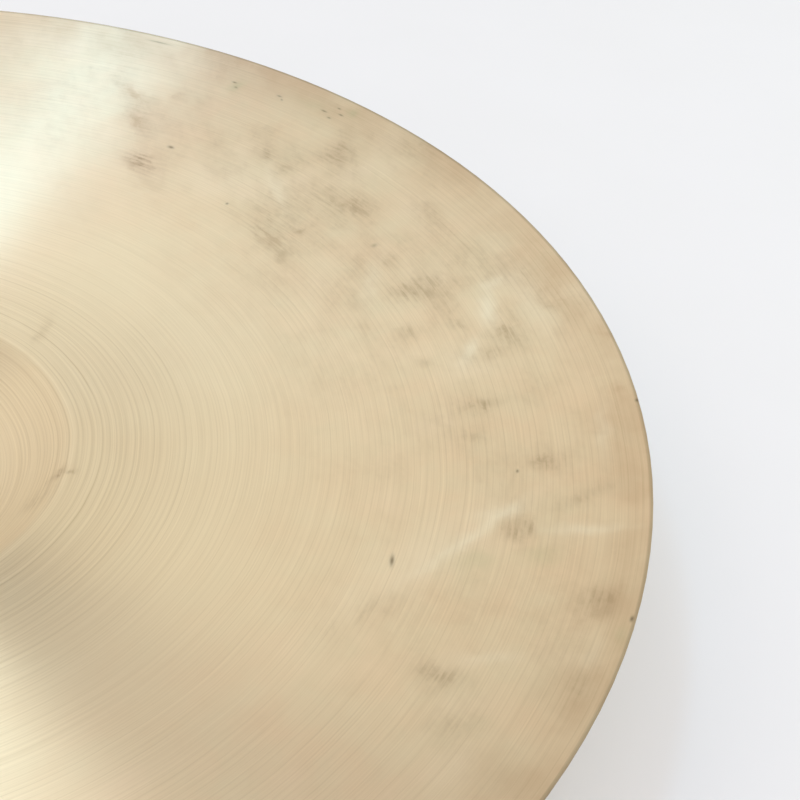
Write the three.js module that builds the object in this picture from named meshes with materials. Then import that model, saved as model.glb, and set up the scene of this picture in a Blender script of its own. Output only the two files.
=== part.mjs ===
// A 16 inch crash cymbal, one lathed bronze disc, lying on the crown of its bell with the
// concave side up. Millimetres, +Z up. The origin is on the hole's axis, at the outer face
// of the crown, which is the face that the disc lies on.

import * as THREE from 'three';

// Driving dimensions
const DIAMETER = 406.4;
const BOW_DEPTH = 22.8;         // how far the bow alone would sink below the rim at the axis
const BOW_POWER = 2.5;          // above 2: the bow steepens towards the rim
const BELL_DIAMETER = 118;
const BELL_DEPTH = 18;           // how far the bell sinks below the bow at the axis
const BELL_CORNER = 0.06;       // softness of the corner where the bell meets the bow
const HOLE_DIAMETER = 12.7;     // half an inch, for a stand's sleeve
const SEAT_DIAMETER = 28;       // flat ring round the hole, where the felt and cup bear
const CROWN_THICKNESS = 1.2;
const RIM_THICKNESS = 0.8;

// Facets
const TURN_SEGMENTS = 96;
const BELL_STEPS = 8;
const BOW_STEPS = 11;

const rimRadius = DIAMETER / 2;
const bellRadius = BELL_DIAMETER / 2;
const holeRadius = HOLE_DIAMETER / 2;
const seatRadius = SEAT_DIAMETER / 2;
const bellFootRadius = bellRadius * 1.12;   // where the bell's soft corner has run out

// A ramp that is 0 for negative t and t for positive t, with its corner rounded
function softRamp(t) {
  return (t + Math.hypot(t, BELL_CORNER)) / 2;
}

// Depth of the concave face below the rim plane
function concaveDepth(radius) {
  const r = Math.max(radius, seatRadius);
  const bow = BOW_DEPTH * (1 - (r / rimRadius) ** BOW_POWER);
  const bell = BELL_DEPTH * softRamp(1 - (r / bellRadius) ** 2);
  return bow + bell;
}

const rimHeight = concaveDepth(seatRadius) + CROWN_THICKNESS;

function concaveHeight(radius) {
  return rimHeight - concaveDepth(radius);
}

// The sheet thins evenly from the bell's edge to the rim
function thickness(radius) {
  const outward = Math.max(0, (radius - bellRadius) / (rimRadius - bellRadius));
  return CROWN_THICKNESS + (RIM_THICKNESS - CROWN_THICKNESS) * outward;
}

// The convex face lies one thickness below the concave face, measured square to the sheet
function convexHeight(radius) {
  if (radius <= seatRadius) {
    return 0;
  }
  const step = 0.01;
  const slope = (concaveHeight(radius) - concaveHeight(radius - step)) / step;
  return concaveHeight(radius) - thickness(radius) * Math.hypot(1, slope);
}

// Radii of the profile's points, from the hole to the rim
function stationRadii() {
  const radii = [holeRadius, seatRadius];
  for (let i = 1; i <= BELL_STEPS; i += 1) {
    radii.push(seatRadius + (bellFootRadius - seatRadius) * (i / BELL_STEPS) ** 0.8);
  }
  for (let i = 1; i <= BOW_STEPS; i += 1) {
    radii.push(bellFootRadius + (rimRadius - bellFootRadius) * (i / BOW_STEPS));
  }
  return radii;
}

// Out along the convex face, up the rim, back along the concave face and down the hole
function discProfile() {
  const radii = stationRadii();
  const convex = radii.map((r) => new THREE.Vector2(r, convexHeight(r)));
  const concave = radii.map((r) => new THREE.Vector2(r, concaveHeight(r)));
  return [...convex, ...concave.reverse(), convex[0].clone()];
}

function makeCymbal() {
  const geometry = new THREE.LatheGeometry(discProfile(), TURN_SEGMENTS);
  geometry.rotateX(Math.PI / 2);
  const bronze = new THREE.MeshStandardMaterial({ color: 0xd6bf9a, roughness: 0.35, metalness: 1.0 });
  const mesh = new THREE.Mesh(geometry, bronze);
  mesh.name = 'cymbal';
  return mesh;
}

const group = new THREE.Group();
group.add(makeCymbal());

export default group;
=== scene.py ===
"""A used 16 inch crash cymbal lying bell down on a pale table, seen from above its rim.

The disc is one piece of bronze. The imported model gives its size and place. This script
gives it the lathe grooves, the rounded rim, the hammered unevenness and the tarnish.
All lengths are in metres. Angles in lists and in calls are in degrees, and functions turn
them into radians where they use them.
"""

import math

import bpy
from mathutils import Matrix, Vector


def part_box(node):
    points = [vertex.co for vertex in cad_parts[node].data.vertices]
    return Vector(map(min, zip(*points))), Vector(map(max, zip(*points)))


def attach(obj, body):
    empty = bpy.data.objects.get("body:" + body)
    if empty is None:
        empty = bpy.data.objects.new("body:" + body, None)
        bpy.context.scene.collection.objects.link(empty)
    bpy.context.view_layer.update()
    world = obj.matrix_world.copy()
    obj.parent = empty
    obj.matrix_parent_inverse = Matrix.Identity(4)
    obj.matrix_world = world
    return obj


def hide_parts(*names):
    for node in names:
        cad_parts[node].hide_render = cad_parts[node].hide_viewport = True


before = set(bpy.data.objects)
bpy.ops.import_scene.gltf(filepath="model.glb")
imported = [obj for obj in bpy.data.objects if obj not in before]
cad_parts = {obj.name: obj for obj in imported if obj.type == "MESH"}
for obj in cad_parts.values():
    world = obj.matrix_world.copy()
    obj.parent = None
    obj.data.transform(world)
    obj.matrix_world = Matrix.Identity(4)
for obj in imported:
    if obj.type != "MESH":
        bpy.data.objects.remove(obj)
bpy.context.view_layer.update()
disc_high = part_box("cymbal")[1]

MM = 0.001

# The disc, with the dimensions that the model has
RIM_RADIUS = disc_high.x
RIM_HEIGHT = disc_high.z
BOW_DEPTH = 22.8 * MM
BOW_POWER = 2.5
BELL_RADIUS = 59.0 * MM
BELL_DEPTH = 18.0 * MM
BELL_CORNER = 0.06      # roundness of the bell's edge, in the units of soft_ramp
HOLE_RADIUS = 6.35 * MM
SEAT_RADIUS = 14.0 * MM
CROWN_THICKNESS = 1.2 * MM
RIM_THICKNESS = 0.8 * MM
RIM_ROUND = 0.22 * MM
HOLE_ROUND = 0.15 * MM

# The mesh
TURN_SEGMENTS = 152
CONCAVE_STEPS = 5       # stations in each groove on the side that faces up
CONVEX_STEPS = 3        # and on the side that faces the table
LEAST_STEP = 0.12 * MM  # stations closer together than this are merged
CONVEX_PHASE = 0.37     # share of a groove by which the two sides are out of step

# Lathe grooves: a round-nosed tool fed outwards, a little slower at the rim
BOW_PITCH = 3.2 * MM
RIM_PITCH = 2.1 * MM
BELL_PITCH = 2.0 * MM
RIM_ZONE = 0.86         # where the pitch starts to close, as a share of the radius
BOW_GROOVE = 0.005 * MM
BELL_GROOVE = 0.007 * MM

# Single rings that the tool cut deeper, or left proud where the strength is negative:
# share of the radius, half width in mm, strength
RINGS = (
    (0.205, 0.4, 0.7),
    (0.212, 0.4, 0.9),
    (0.221, 0.4, 0.7),
    (0.231, 0.4, 1.1),
    (0.242, 0.4, 1.2),
    (0.252, 0.4, 0.8),
    (0.260, 0.3, 0.6),
    (0.268, 0.4, 0.7),
    (0.277, 0.4, 0.8),
    (0.286, 0.5, -0.9),
    (0.291, 0.4, 0.6),
    (0.296, 0.5, -0.9),
    (0.304, 0.4, 0.3),
    (0.314, 0.5, 0.6),
    (0.329, 0.5, -0.4),
    (0.333, 0.3, 1.9),
    (0.345, 0.4, 0.6),
    (0.350, 0.4, -0.4),
    (0.363, 0.5, 0.6),
    (0.381, 0.4, 0.4),
    (0.402, 0.4, 0.2),
    (0.423, 0.5, 0.3),
    (0.456, 0.5, 0.3),
    (0.470, 0.5, 0.4),
    (0.520, 0.5, 0.2),
    (0.567, 0.5, 0.2),
    (0.975, 0.5, 0.5),
)
RING_DEPTH = 0.010 * MM

# Hammer marks left under the lathing, on a spiral
HAMMER_MARKS = 240
HAMMER_RADIUS = 13.0 * MM
HAMMER_DEPTH = 0.030 * MM
GOLDEN_ANGLE = math.pi * (3.0 - math.sqrt(5.0))     # in radians


# ---------------------------------------------------------------- the disc's shape

def soft_ramp(t):
    """t where it is above 0, and 0 below, with a rounded corner between."""
    return (t + math.hypot(t, BELL_CORNER)) / 2.0


def concave_depth(radius):
    """Depth of the concave face below the rim. The seat inside the crown is flat."""
    r = max(radius, SEAT_RADIUS)
    bow = BOW_DEPTH * (1.0 - (r / RIM_RADIUS) ** BOW_POWER)
    bell = BELL_DEPTH * soft_ramp(1.0 - (r / BELL_RADIUS) ** 2)
    return bow + bell


def concave_height(radius):
    return RIM_HEIGHT - concave_depth(radius)


def slope_at(radius):
    if radius <= SEAT_RADIUS:
        return 0.0
    step = 0.01 * MM
    return (concave_height(radius) - concave_height(radius - step)) / step


def thickness(radius):
    outward = max(0.0, (radius - BELL_RADIUS) / (RIM_RADIUS - BELL_RADIUS))
    return CROWN_THICKNESS + (RIM_THICKNESS - CROWN_THICKNESS) * outward


def convex_height(radius):
    return concave_height(radius) - thickness(radius) * math.hypot(1.0, slope_at(radius))


# ---------------------------------------------------------------- grooves and dents

def pitch_at(radius):
    """Distance from one groove to the next."""
    if radius < BELL_RADIUS:
        return BELL_PITCH
    share = radius / RIM_RADIUS
    closing = min(1.0, max(0.0, (share - RIM_ZONE) / (1.0 - RIM_ZONE)))
    return BOW_PITCH + (RIM_PITCH - BOW_PITCH) * closing


def groove_stations(steps):
    """(radius, grooves passed so far) at even steps of every groove, from the seat to the rim."""
    stations = []
    radius = SEAT_RADIUS
    count = 0
    last = RIM_RADIUS - RIM_ROUND
    while radius < last:
        stations.append((radius, count / steps))
        radius += pitch_at(radius) / steps
        count += 1
    stations.append((last, count / steps))
    return stations


def tool_wobble(turns):
    """How strongly each groove is cut, from 0.4 to 1.6, uneven from groove to groove."""
    return 1.0 + 0.35 * math.sin(2.3 * turns) + 0.25 * math.sin(0.61 * turns + 1.0)


def groove_height(radius, turns):
    """Height that the tool leaves at this radius, above or below the smooth face."""
    size = BELL_GROOVE if radius < BELL_RADIUS else BOW_GROOVE
    angle = 2.0 * math.pi * turns
    wave = math.sin(angle) + 0.35 * math.sin(2.0 * angle + 0.8)
    height = size * wave * tool_wobble(math.floor(turns))
    for share, half_width, strength in RINGS:
        away = abs(radius - share * RIM_RADIUS) / (half_width * MM)
        if away < 1.0:
            height -= strength * RING_DEPTH * (1.0 - away * away) ** 2
    return height


def ring_stations():
    """Extra radii that carry the single rings' sides and floors."""
    radii = []
    for share, half_width, _strength in RINGS:
        for part in (-1.0, -0.5, 0.0, 0.5, 1.0):
            radii.append(share * RIM_RADIUS + part * half_width * MM)
    return radii


def turns_at(radius, stations):
    """Grooves passed at any radius, between the even stations."""
    for (r0, t0), (r1, t1) in zip(stations, stations[1:]):
        if r0 <= radius <= r1:
            return t0 + (t1 - t0) * (radius - r0) / (r1 - r0)
    return stations[-1][1]


def concave_stations():
    """The even stations of the concave side with those of the single rings among them."""
    even = groove_stations(CONCAVE_STEPS)
    extra = [(r, turns_at(r, even)) for r in ring_stations()]
    merged = sorted(even + extra)
    kept = [merged[0]]
    for station in merged[1:]:
        if station[0] - kept[-1][0] > LEAST_STEP:
            kept.append(station)
    return kept


def hammer_marks():
    """Centres of the hammer marks, evenly spread over the bow by the golden angle."""
    marks = []
    inner = BELL_RADIUS * 1.1
    outer = RIM_RADIUS * 0.97
    for i in range(HAMMER_MARKS):
        share = (i + 0.5) / HAMMER_MARKS
        radius = math.sqrt(inner**2 + (outer**2 - inner**2) * share)
        angle = i * GOLDEN_ANGLE
        marks.append((radius, radius * math.cos(angle), radius * math.sin(angle)))
    return marks


MARKS = hammer_marks()


def dents_near(radius):
    """Centres of the marks that can reach this radius."""
    return [(x, y) for r, x, y in MARKS if abs(r - radius) < HAMMER_RADIUS]


def dent_height(x, y, dents):
    height = 0.0
    for mark_x, mark_y in dents:
        away = math.hypot(x - mark_x, y - mark_y) / HAMMER_RADIUS
        if away < 1.0:
            height -= HAMMER_DEPTH * (1.0 - away * away) ** 2
    return height


# ---------------------------------------------------------------- the mesh

def rounded_rim():
    """Profile points round the rim, from the concave face to the convex face."""
    top = concave_height(RIM_RADIUS)
    bottom = top - RIM_THICKNESS
    points = []
    for degrees in (60, 30, 0):
        a = math.radians(degrees)
        inward = RIM_ROUND * (1 - math.cos(a))
        drop = RIM_ROUND * (1 - math.sin(a))
        points.append((RIM_RADIUS - inward, top - drop))
    mirrored = [(r, top + bottom - z) for r, z in reversed(points)]
    return points + mirrored


def rounded_hole():
    """Profile points up the hole's wall, from the convex face to the concave face."""
    r = HOLE_ROUND
    low = [(HOLE_RADIUS + r, 0.0), (HOLE_RADIUS + 0.3 * r, 0.3 * r), (HOLE_RADIUS, r)]
    high = [(x, CROWN_THICKNESS - z) for x, z in reversed(low)]
    return low + high


def disc_profile():
    """Closed profile as (radius, height, dented): concave face, rim, convex face, hole."""
    profile = []
    for r, turns in concave_stations():
        profile.append((r, concave_height(r) + groove_height(r, turns), True))
    profile += [(r, z, False) for r, z in rounded_rim()]
    for r, turns in reversed(groove_stations(CONVEX_STEPS)):
        profile.append((r, convex_height(r) - groove_height(r, turns + CONVEX_PHASE), True))
    profile += [(r, z, False) for r, z in rounded_hole()]
    return profile


def make_disc():
    """The profile turned about the axis, with the hammer marks pressed through both faces."""
    profile = disc_profile()
    turns = [2.0 * math.pi * k / TURN_SEGMENTS for k in range(TURN_SEGMENTS)]
    circle = [(math.cos(a), math.sin(a)) for a in turns]
    vertices = []
    for r, z, dented in profile:
        dents = dents_near(r) if dented else []
        for c, s in circle:
            x, y = r * c, r * s
            vertices.append((x, y, z + dent_height(x, y, dents)))
    faces = []
    rows = len(profile)
    for i in range(rows):
        a = i * TURN_SEGMENTS
        b = ((i + 1) % rows) * TURN_SEGMENTS
        for k in range(TURN_SEGMENTS):
            n = (k + 1) % TURN_SEGMENTS
            faces.append((a + k, b + k, b + n, a + n))
    mesh = bpy.data.meshes.new("cymbal_disc")
    mesh.from_pydata(vertices, [], faces)
    mesh.update()
    mesh.shade_smooth()
    disc = bpy.data.objects.new("cymbal_disc", mesh)
    bpy.context.scene.collection.objects.link(disc)
    return disc


# ---------------------------------------------------------------- shader helpers

class Graph:
    """A material's nodes, added with short calls. An input is a number, a vector or a socket."""

    def __init__(self, name):
        self.material = bpy.data.materials.new(name)
        self.material.use_nodes = True
        self.tree = self.material.node_tree
        self.tree.nodes.clear()

    def plug(self, socket, value):
        if isinstance(value, bpy.types.NodeSocket):
            self.tree.links.new(value, socket)
        else:
            socket.default_value = value

    def add(self, kind, inputs, **settings):
        node = self.tree.nodes.new(kind)
        for name, value in settings.items():
            setattr(node, name, value)
        for key, value in inputs.items():
            self.plug(node.inputs[key], value)
        return node

    def math(self, operation, a, b=0.0, clamp=False):
        node = self.add("ShaderNodeMath", {0: a, 1: b}, operation=operation, use_clamp=clamp)
        return node.outputs[0]

    def multiply_add(self, a, b, c):
        return self.add("ShaderNodeMath", {0: a, 1: b, 2: c}, operation="MULTIPLY_ADD").outputs[0]

    def fit(self, value, low, high, to_low=0.0, to_high=1.0):
        """Value from low to high, smoothly onto to_low to to_high."""
        node = self.add(
            "ShaderNodeMapRange",
            {"Value": value, "From Min": low, "From Max": high, "To Min": to_low, "To Max": to_high},
            interpolation_type="SMOOTHSTEP",
        )
        return node.outputs["Result"]

    def noise(self, vector, size, detail=3.0, rough=0.5):
        """Three-dimensional noise whose features are about size metres."""
        inputs = {"Vector": vector, "Scale": 1.0 / size, "Detail": detail, "Roughness": rough}
        return self.add("ShaderNodeTexNoise", inputs).outputs["Fac"]

    def line_noise(self, value, size):
        """Noise along one length, with lines about size metres apart."""
        inputs = {"W": value, "Scale": 1.0 / size, "Detail": 2.0, "Roughness": 0.6}
        return self.add("ShaderNodeTexNoise", inputs, noise_dimensions="1D").outputs["Fac"]

    def vector_math(self, operation, *vectors):
        node = self.add("ShaderNodeVectorMath", dict(enumerate(vectors)), operation=operation)
        return node.outputs["Value" if operation in ("LENGTH", "DOT_PRODUCT") else "Vector"]

    def mix(self, factor, a, b, blend="MIX"):
        node = self.add("ShaderNodeMix", {0: factor, 6: a, 7: b}, data_type="RGBA", blend_type=blend)
        return node.outputs[2]


def rgb(red, green, blue):
    """A colour given as it looks on screen, from 0 to 255, as linear light."""
    def linear(value):
        v = value / 255.0
        return v / 12.92 if v <= 0.04045 else ((v + 0.055) / 1.055) ** 2.4
    return (linear(red), linear(green), linear(blue), 1.0)


# ---------------------------------------------------------------- bronze

BRONZE_PINK = rgb(235, 210, 178)
BRONZE_GREEN = rgb(232, 216, 185)
CREAM = rgb(245, 232, 207)
GREY_BROWN = rgb(192, 168, 137)
PINK_BROWN = rgb(214, 185, 152)
VERDIGRIS = rgb(192, 192, 152)
# Dirt in the specks, and painted shade at the rim's outermost edge.
GRIME_AND_EDGE_SHADE = rgb(96, 82, 62)

# Tool lines: about how wide they are, and how far they run before they fade
HAIR_WIDTH = 0.34 * MM
HAIR_LENGTH = 40 * MM
THREAD_WIDTH = 0.9 * MM
THREAD_LENGTH = 8 * MM
FINE_LINE_WIDTH = 0.9 * MM      # these run right round

# The noise that breaks up the single rings
BREAK_WIDTH = 6 * MM
BREAK_LENGTH = 30 * MM

# The size of each noise that moves or mottles the patterns, and how far it moves them
SWAY_SIZE = 30 * MM
SWAY_REACH = 1.0 * MM
RAGGED_SIZE = 6 * MM
RAGGED_REACH = 4 * MM
CLOUD_SIZE = 14 * MM
GRAIN_SIZE = 3 * MM
HUE_SIZE = 12 * MM
RUBBED_SIZE = 24 * MM
RIM_MARK_SIZE = 18 * MM
FEED_PATCH_SIZE = 60 * MM

# How strongly each layer shows
GREY_STRENGTH = 0.66
BROWN_STRENGTH = 0.8
GREEN_STRENGTH = 0.8
PALE_STRENGTH = 0.8
SPECK_STRENGTH = 0.75
FEED_LINE_STRENGTH = 0.055
RING_LINE_STRENGTH = 0.12

BARE_ROUGHNESS = 0.33           # of clean metal

# Marks on the concave side: share of the radius, angle round the disc, turn of the mark's
# long axis from the radius, length and breadth in mm, strength
GREY_STAINS = (
    (0.79, 4, 0, 15, 10, 0.60),
    (0.75, -2, 0, 10, 6, 0.35),
    (0.76, -7, 0, 5, 4, 0.30),
    (0.82, -3, 90, 12, 5, 0.35),
    (0.88, -6, 70, 20, 13, 0.55),
    (0.84, -8, 0, 8, 6, 0.35),
    (0.81, -15, 0, 11, 7, 0.55),
    (0.79, -19, 0, 8, 7, 0.30),
    (0.71, -10, 0, 5, 4, 0.25),
    (0.88, -23, 10, 12, 9, 0.45),
    (0.93, -27, 35, 14, 5, 0.35),
    (0.85, -31, 20, 9, 7, 0.65),
    (0.96, -38, 0, 10, 10, 0.90),
    (0.83, -48, 0, 14, 8, 0.38),
    (0.87, -52, 0, 12, 8, 0.25),
    (0.72, -43, 60, 25, 8, 0.18),
    (0.97, -46, 90, 12, 5, 0.30),
    (0.72, 44, 70, 13, 8, 0.45),
    (0.71, 22, 90, 13, 12, 0.60),
    (0.69, 18, 60, 9, 7, 0.50),
    (0.74, 20, 0, 4, 3, 0.40),
    (0.88, 27, 0, 14, 12, 0.45),
    (0.83, 32, 90, 10, 6, 0.35),
    (0.82, 29, 0, 6, 5, 0.30),
    (0.83, 19, 0, 14, 12, 0.25),
    (0.30, -24, 0, 3, 2, 0.70),
    (0.28, -25, 60, 7, 3, 0.70),
    (0.27, -33, 60, 10, 6, 0.50),
    (0.34, 29, 30, 14, 3, 0.35),
)
BROWN_STAINS = (
    (0.86, 50, 60, 12, 6, 0.70),
    (0.80, 48, 40, 10, 5, 0.55),
    (0.88, 46, 0, 5, 4, 0.50),
    (0.98, 0, 90, 14, 4, 0.50),
    (0.99, -10, 90, 16, 5, 0.60),
    (0.98, -16, 90, 9, 4, 0.60),
    (0.96, -4, 90, 18, 7, 0.35),
    (0.90, 12, 90, 30, 8, 0.25),
    (0.80, -2, 0, 12, 8, 0.25),
    (0.93, -38, 0, 34, 26, 0.35),
    (0.68, 14, 90, 40, 14, 0.20),
    (0.78, 10, 70, 30, 14, 0.25),
)
PALE_STREAKS = (
    (0.87, -2, 70, 18, 5, 0.80),
    (0.82, -7, 60, 12, 4, 0.70),
    (0.90, 1, 0, 9, 6, 0.55),
    (0.95, -20, 85, 22, 4, 0.55),
    (0.83, -29, 20, 12, 6, 0.60),
    (0.80, -32, 52, 40, 4, 0.50),
    (0.93, -31, 0, 20, 4, 0.70),
    (0.87, -45, 20, 14, 5, 0.40),
    (0.97, -43, 90, 8, 4, 0.45),
    (0.78, 27, 60, 30, 5, 0.35),
    (0.76, 8, 50, 24, 5, 0.35),
    (0.93, -2, 90, 50, 10, 0.40),
    (0.74, -36, 60, 60, 18, 0.30),
)
GREEN_PATCHES = (
    (0.98, 29, 0, 4, 4, 0.80),
    (0.94, 41, 0, 6, 5, 0.55),
    (0.99, -41, 90, 8, 3, 0.60),
    (0.88, -34, 0, 9, 7, 0.30),
    (0.81, -35, 0, 9, 7, 0.25),
    (0.96, 33, 90, 16, 6, 0.30),
)
SPECKS = (
    (0.716, -36, 100, 4.5, 1.2, 1.00),
    (0.998, -17.5, 90, 1.6, 1.2, 1.00),
    (0.995, -39.5, 90, 2.2, 1.0, 1.00),
    (0.844, -24, 90, 1.6, 0.9, 0.80),
    (0.770, 42, 90, 2.4, 1.3, 0.90),
    (0.710, 30, 0, 1.1, 1.1, 0.80),
    (0.800, 12.5, 0, 2.2, 1.8, 0.40),
    (0.945, 41.5, 90, 2.0, 0.8, 0.80),
    (0.936, 41, 80, 1.6, 0.8, 0.60),
    (0.950, 36.5, 90, 2.2, 0.8, 0.70),
    (0.945, 36, 60, 1.2, 0.8, 0.60),
    (0.958, 31.5, 90, 2.6, 0.8, 0.80),
    (0.950, 30.5, 90, 1.8, 0.8, 0.70),
    (0.965, 29.8, 90, 2.2, 0.8, 0.80),
    (0.975, 30.5, 90, 1.6, 0.7, 0.70),
    (0.985, 51, 90, 10, 0.9, 0.60),
)


def spots(g, place, marks, edge=0.3):
    """Soft ellipses at the listed marks, added together. Each falls to edge at its outline.

    place has 1 as its third value, so that one dot product both turns and shifts it.
    """
    total = 0.0
    for share, angle, turn, length, breadth, strength in marks:
        a = math.radians(angle)
        t = math.radians(angle + turn)
        centre = Vector((math.cos(a), math.sin(a), 0.0)) * share * RIM_RADIUS
        along = Vector((math.cos(t), math.sin(t), 0.0)) * 2.0 / (length * MM)
        across = Vector((-math.sin(t), math.cos(t), 0.0)) * 2.0 / (breadth * MM)
        along.z = -along.dot(centre)
        across.z = -across.dot(centre)
        u = g.vector_math("DOT_PRODUCT", place, along)
        v = g.vector_math("DOT_PRODUCT", place, across)
        away = g.multiply_add(u, u, g.math("MULTIPLY", v, v))
        total = g.multiply_add(g.math("POWER", edge, away), strength, total)
    return total


class Face:
    """Positions on the disc that the bronze's patterns share."""

    def __init__(self, g):
        self.g = g
        self.place = g.add("ShaderNodeTexCoord", {}).outputs["Object"]
        flat = g.vector_math("MULTIPLY", self.place, (1.0, 1.0, 0.0))
        radius = g.vector_math("LENGTH", flat)
        self.share = g.math("DIVIDE", radius, RIM_RADIUS)
        sway = g.math("SUBTRACT", g.noise(self.place, SWAY_SIZE, 2.0), 0.5)
        self.swayed = g.multiply_add(sway, SWAY_REACH, radius)
        axes = g.add("ShaderNodeSeparateXYZ", {0: flat})
        self.x, self.y = axes.outputs[0], axes.outputs[1]

        # The same place with a third value of 1, as it is and pushed about by noise
        self.smooth = g.vector_math("ADD", flat, (0.0, 0.0, 1.0))
        warp_inputs = {"Vector": self.place, "Scale": 1.0 / RAGGED_SIZE, "Detail": 4.0}
        warp = g.add("ShaderNodeTexNoise", warp_inputs).outputs["Color"]
        shift = g.vector_math("SUBTRACT", warp, (0.5, 0.5, 0.5))
        reach = (RAGGED_REACH, RAGGED_REACH, 0.0)
        self.ragged = g.vector_math("MULTIPLY_ADD", shift, reach, self.smooth)

    def arcs(self, width, length, detail=2.0):
        """Noise drawn out along the grooves: lines about width apart that last about length."""
        g = self.g
        line = g.math("DIVIDE", self.swayed, width)
        along_x = g.math("DIVIDE", self.x, length)
        along_y = g.math("DIVIDE", self.y, length)
        drawn = g.add("ShaderNodeCombineXYZ", {0: line, 1: along_x, 2: along_y}).outputs[0]
        return g.noise(drawn, 1.0, detail)


def feed_lines(g, face):
    """Two thin dark lines to each groove of the feed, 0 to 1, coming and going."""
    turns = g.math("FRACT", g.math("DIVIDE", face.swayed, 0.5 * BOW_PITCH))
    away = g.math("ABSOLUTE", g.math("SUBTRACT", turns, 0.5))
    line = g.fit(away, 0.14, 0.02)
    presence = g.fit(g.noise(face.place, FEED_PATCH_SIZE, 1.0), 0.38, 0.62, 0.15, 1.0)
    return g.math("MULTIPLY", line, presence)


def ring_lines(g, face):
    """The single rings, above 0 where they are drawn darker and below 0 where they are painted paler
    as highlights.
    """
    total = 0.0
    for share, half_width, strength in RINGS:
        width = 0.6 * half_width * MM       # the line is narrower than the ring it lies in
        away = g.multiply_add(face.swayed, 1.0 / width, -share * RIM_RADIUS / width)
        # A ring of negative strength makes the colour paler there: a painted highlight.
        total = g.multiply_add(g.math("POWER", 0.3, g.math("MULTIPLY", away, away)), strength, total)
    broken = g.fit(face.arcs(BREAK_WIDTH, BREAK_LENGTH), 0.3, 0.6, 0.4, 1.0)
    return g.math("MULTIPLY", total, broken)


def tarnish_mask(g, face, marks, spread):
    """Clouded tarnish, from 0: soft at the listed marks, and thin over the outer bow.

    The thin part is weaker in the half towards negative y and near the line x = 0.
    """
    drawn = g.vector_math("MULTIPLY", face.ragged, (1.0, 0.6, 1.0))
    clouds = g.noise(drawn, CLOUD_SIZE, 5.0, 0.55)
    grain = g.fit(g.noise(drawn, GRAIN_SIZE, 4.0, 0.65), 0.35, 0.65, 0.65, 1.35)
    thick = g.math("MULTIPLY", g.fit(clouds, 0.3, 0.7, 0.7, 1.3), grain)
    area = g.fit(face.y, -0.5 * RIM_RADIUS, 0.1 * RIM_RADIUS, 0.5, 1.0)
    aside = g.math("ABSOLUTE", face.x)
    area = g.math("MULTIPLY", area, g.fit(aside, 0.3 * RIM_RADIUS, 0.6 * RIM_RADIUS, 0.35, 1.0))
    outer = g.fit(face.share, 0.5, 0.8, 0.2 * spread, spread)
    thin = g.math("MULTIPLY", g.fit(clouds, 0.35, 0.75), outer)
    thin = g.math("MULTIPLY", thin, g.math("MULTIPLY", area, grain))
    return g.multiply_add(spots(g, face.ragged, marks), thick, thin)


def tarnish(g, face, hair, thread):
    """The grey and the brown tarnish, 0 to 1. The grey is darkest in the tool lines that cross it."""
    grey = g.math("MULTIPLY", tarnish_mask(g, face, GREY_STAINS, 0.38), GREY_STRENGTH)
    lined = g.math("ADD", g.fit(thread, 0.38, 0.62, 0.0, 0.8), g.fit(hair, 0.35, 0.65, 0.0, 0.4))
    grey = g.math("MULTIPLY", grey, g.math("ADD", lined, 0.4), clamp=True)
    brown = tarnish_mask(g, face, BROWN_STAINS, 0.19)
    brown = g.math("MULTIPLY", brown, BROWN_STRENGTH, clamp=True)
    return grey, brown


def clean_metal(g, face):
    """The metal, pinker outwards and in patches, with pale rubbed streaks."""
    hue = g.noise(face.ragged, HUE_SIZE, 3.0)
    patchy = g.fit(face.share, 0.45, 0.8, 0.3, 1.6)
    outward = g.fit(face.share, 0.45, 0.75, 0.35, 0.62)
    hue = g.multiply_add(g.math("SUBTRACT", hue, 0.5), patchy, outward)
    colour = g.mix(hue, BRONZE_GREEN, BRONZE_PINK)
    rubbed = g.fit(g.noise(face.ragged, RUBBED_SIZE, 3.0), 0.5, 0.75, 0.0, 0.4)
    pale = g.math("MULTIPLY", rubbed, g.fit(face.share, 0.55, 0.8))
    pale = g.multiply_add(spots(g, face.ragged, PALE_STREAKS), 1.2, pale)
    return g.mix(g.math("MULTIPLY", pale, PALE_STRENGTH, clamp=True), colour, CREAM)


def worn_rim(g, face, colour):
    """Handling marks at the rim, and painted shade on the edge itself."""
    band = g.fit(face.share, 0.90, 0.99)
    mottle = g.fit(g.noise(face.ragged, RIM_MARK_SIZE, 3.0), 0.3, 0.7, 0.15, 0.75)
    colour = g.mix(g.math("MULTIPLY", band, mottle), colour, PINK_BROWN)
    # The outermost edge is painted darker: painted shade on the rim's rounded edge.
    return g.mix(g.fit(face.share, 0.995, 0.998, 0.0, 0.35), colour, GRIME_AND_EDGE_SHADE)


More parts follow.
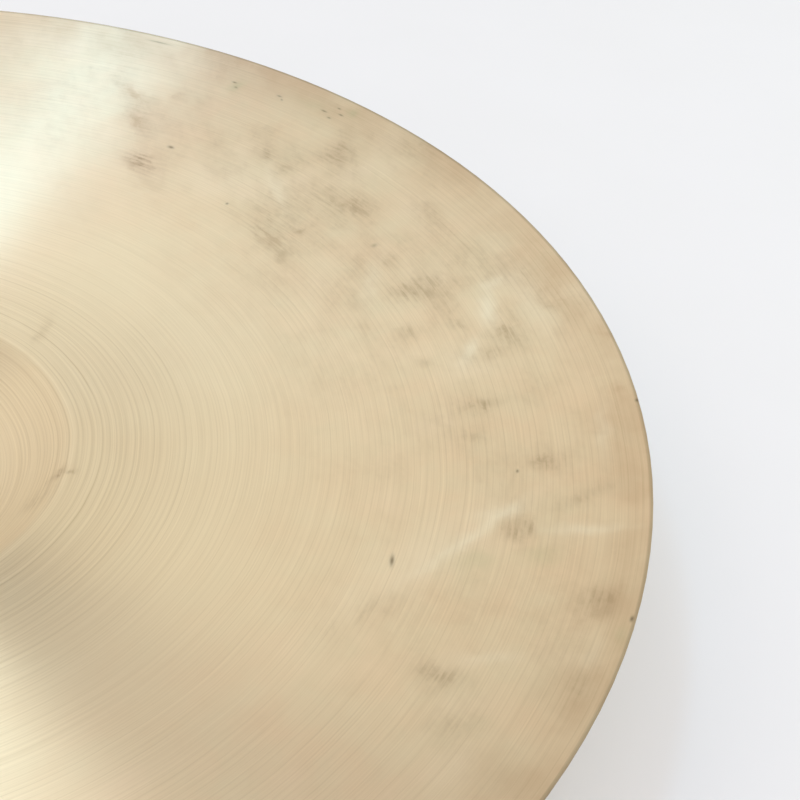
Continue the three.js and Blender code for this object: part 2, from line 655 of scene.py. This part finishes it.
def tool_lines(g, face, hair):
    """How dark the tool lines are, below 0 where they shine.

    The metal between them is darker just outside the bell and towards the rim, and painted lighter
    inside the bell: painted light.
    """
    bold = g.fit(face.share, 0.22, 0.5, 0.30, 0.20)
    dark = g.math("MULTIPLY", g.math("SUBTRACT", 0.5, hair), bold)
    fine = g.fit(g.line_noise(face.swayed, FINE_LINE_WIDTH), 0.52, 0.72)
    dark = g.multiply_add(fine, g.fit(face.share, 0.3, 0.6, 0.070, 0.022), dark)
    dark = g.multiply_add(feed_lines(g, face), FEED_LINE_STRENGTH, dark)
    dark = g.multiply_add(ring_lines(g, face), RING_LINE_STRENGTH, dark)
    darker_bands_and_painted_light = g.math("MULTIPLY", g.fit(face.share, 0.27, 0.30), g.fit(face.share, 0.5, 0.32, 0.0, 0.08))
    # Inside the bell the colour is painted lighter: painted light on the bell's wall.
    darker_bands_and_painted_light = g.math("SUBTRACT", darker_bands_and_painted_light, g.fit(face.share, 0.30, 0.27, 0.0, 0.03))
    darker_bands_and_painted_light = g.math("ADD", darker_bands_and_painted_light, g.fit(face.share, 0.55, 0.95, 0.0, 0.06))
    return g.math("ADD", dark, darker_bands_and_painted_light)


def darkened(g, colour, dark):
    """The colour with dark taken from it, least from the red and most from the blue."""
    red, green, blue = [g.multiply_add(dark, depth, 1.0) for depth in (-0.85, -1.0, -1.2)]
    tone = g.add("ShaderNodeCombineXYZ", {0: red, 1: green, 2: blue}).outputs[0]
    return g.mix(1.0, colour, tone, "MULTIPLY")


def bronze_material():
    g = Graph("lathed_bronze")
    face = Face(g)
    hair = face.arcs(HAIR_WIDTH, HAIR_LENGTH, 1.0)
    thread = face.arcs(THREAD_WIDTH, THREAD_LENGTH)

    # Colour, from the bare metal up to the dirt on it
    grey, brown = tarnish(g, face, hair, thread)
    colour = clean_metal(g, face)
    colour = g.mix(brown, colour, PINK_BROWN)
    colour = g.mix(grey, colour, GREY_BROWN)
    green = g.math("MULTIPLY", spots(g, face.ragged, GREEN_PATCHES), GREEN_STRENGTH, clamp=True)
    colour = g.mix(green, colour, VERDIGRIS)
    colour = worn_rim(g, face, colour)
    colour = darkened(g, colour, tool_lines(g, face, hair))
    specks = g.math("MULTIPLY", spots(g, face.smooth, SPECKS, 0.2), SPECK_STRENGTH, clamp=True)
    colour = g.mix(specks, colour, GRIME_AND_EDGE_SHADE)

    # Finish: rougher where it is tarnished, and brushed round the disc
    rough = g.math("ADD", BARE_ROUGHNESS, g.math("MULTIPLY", grey, 0.08))
    rough = g.math("ADD", rough, g.math("MULTIPLY", g.math("SUBTRACT", hair, 0.5), 0.08))
    relief = g.math("ADD", hair, g.math("MULTIPLY", thread, 2.0))
    bump_inputs = {"Height": relief, "Strength": 0.3, "Distance": 0.02 * MM}
    bump = g.add("ShaderNodeBump", bump_inputs).outputs[0]
    tangent = g.add("ShaderNodeTangent", {}, direction_type="RADIAL", axis="Z").outputs[0]
    shader = g.add(
        "ShaderNodeBsdfPrincipled",
        {
            "Base Color": colour,
            "Metallic": 1.0,
            "Roughness": rough,
            "Anisotropic": 1.0,
            "Anisotropic Rotation": 0.25,
            "Normal": bump,
            "Tangent": tangent,
        },
    ).outputs[0]
    g.add("ShaderNodeOutputMaterial", {"Surface": shader})
    return g.material


# ---------------------------------------------------------------- table, lights and camera

TABLE_RADIUS = 3.5
TABLE_SIDES = 128
TABLE_MOTTLE_SIZE = 60 * MM
LIGHT_DISTANCE = 4.0


def table_material():
    g = Graph("pale_table")
    place = g.add("ShaderNodeTexCoord", {}).outputs["Object"]
    mottle = g.noise(place, TABLE_MOTTLE_SIZE, 3.0)
    tone = g.mix(mottle, rgb(238, 236, 236), rgb(241, 239, 240))
    shader = g.add("ShaderNodeBsdfPrincipled", {"Base Color": tone, "Roughness": 0.6}).outputs[0]
    g.add("ShaderNodeOutputMaterial", {"Surface": shader})
    return g.material


def make_table():
    """A large round table, so that no corner shows from low down."""
    turns = [2.0 * math.pi * k / TABLE_SIDES for k in range(TABLE_SIDES)]
    edge = [(TABLE_RADIUS * math.cos(a), TABLE_RADIUS * math.sin(a), 0.0) for a in turns]
    mesh = bpy.data.meshes.new("table")
    mesh.from_pydata(edge, [], [tuple(range(TABLE_SIDES))])
    table = bpy.data.objects.new("table", mesh)
    bpy.context.scene.collection.objects.link(table)
    mesh.materials.append(table_material())


def make_world(strength):
    world = bpy.data.worlds.new("studio")
    world.use_nodes = True
    background = world.node_tree.nodes["Background"]
    background.inputs["Color"].default_value = (1.0, 1.0, 1.0, 1.0)
    background.inputs["Strength"].default_value = strength
    bpy.context.scene.world = world


def soft_light(name, azimuth, elevation, wide, tall, radiance):
    """A softbox that fills wide x tall degrees of the sky, as seen from the disc.

    radiance is red, green and blue, as many times as bright as a plain white sky.
    """
    a = math.radians(azimuth)
    e = math.radians(elevation)
    direction = Vector((math.cos(e) * math.cos(a), math.cos(e) * math.sin(a), math.sin(e)))
    strongest = max(radiance)
    data = bpy.data.lights.new(name, "AREA")
    data.shape = "RECTANGLE"
    data.size = 2.0 * LIGHT_DISTANCE * math.tan(math.radians(wide / 2.0))
    data.size_y = 2.0 * LIGHT_DISTANCE * math.tan(math.radians(tall / 2.0))
    data.energy = strongest * math.pi * data.size * data.size_y
    data.color = [value / strongest for value in radiance]
    light = bpy.data.objects.new(name, data)
    light.location = Vector((0.0, 0.0, RIM_HEIGHT)) + direction * LIGHT_DISTANCE
    light.rotation_mode = "QUATERNION"
    light.rotation_quaternion = direction.to_track_quat("Z", "Y")
    bpy.context.scene.collection.objects.link(light)


def make_lights():
    """A pale room: a bright window at the front right, soft walls, and strips overhead and behind."""
    make_world(0.42)
    soft_light("left_fill", 226, 64, 68, 79, (0.31, 0.07, 0.01))
    soft_light("ceiling_strip", 89, 72, 5, 65, (1.2, 2.1, 2.65))
    soft_light("right_window", 302, 46, 15, 70, (4.35, 5.15, 5.45))
    soft_light("right_wall", 26, 19, 55, 76, (0.50, 0.56, 0.47))
    soft_light("back_left_wall", 122, 30, 66, 59, (0.55, 0.51, 0.43))
    soft_light("back_strip", 79, 25, 5, 41, (1.57, 1.55, 1.48))
    soft_light("skylight", 142, 70, 20, 6, (2.2, 5.0, 7.8))


def make_camera():
    """Above the near rim, turned to the right so that the hole lies left of the frame."""
    distance = 2.0221 * RIM_RADIUS
    elevation = math.radians(37.48)
    pitch = math.radians(38.75)
    yaw = math.radians(25.56)
    roll = math.radians(6.53)
    data = bpy.data.cameras.new("camera")
    data.sensor_width = 36.0
    data.lens = 72.0
    data.clip_start = 0.01
    data.clip_end = 20.0
    camera = bpy.data.objects.new("camera", data)
    aim = Vector((math.sin(yaw) * math.cos(pitch), math.cos(yaw) * math.cos(pitch), -math.sin(pitch)))
    level = aim.cross(Vector((0.0, 0.0, 1.0))).normalized()
    rise = level.cross(aim)
    right = math.cos(roll) * level + math.sin(roll) * rise
    up = math.cos(roll) * rise - math.sin(roll) * level
    turn = Matrix((right, up, -aim)).transposed()
    camera.rotation_mode = "QUATERNION"
    camera.rotation_quaternion = turn.to_quaternion()
    height = RIM_HEIGHT + distance * math.sin(elevation)
    camera.location = (0.0, -distance * math.cos(elevation), height)
    bpy.context.scene.collection.objects.link(camera)
    bpy.context.scene.camera = camera


# ---------------------------------------------------------------- build

bpy.context.scene.view_settings.view_transform = "Standard"
make_camera()
make_table()
make_lights()

disc = make_disc()
disc.data.materials.append(bronze_material())
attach(disc, "root")
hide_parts("cymbal")
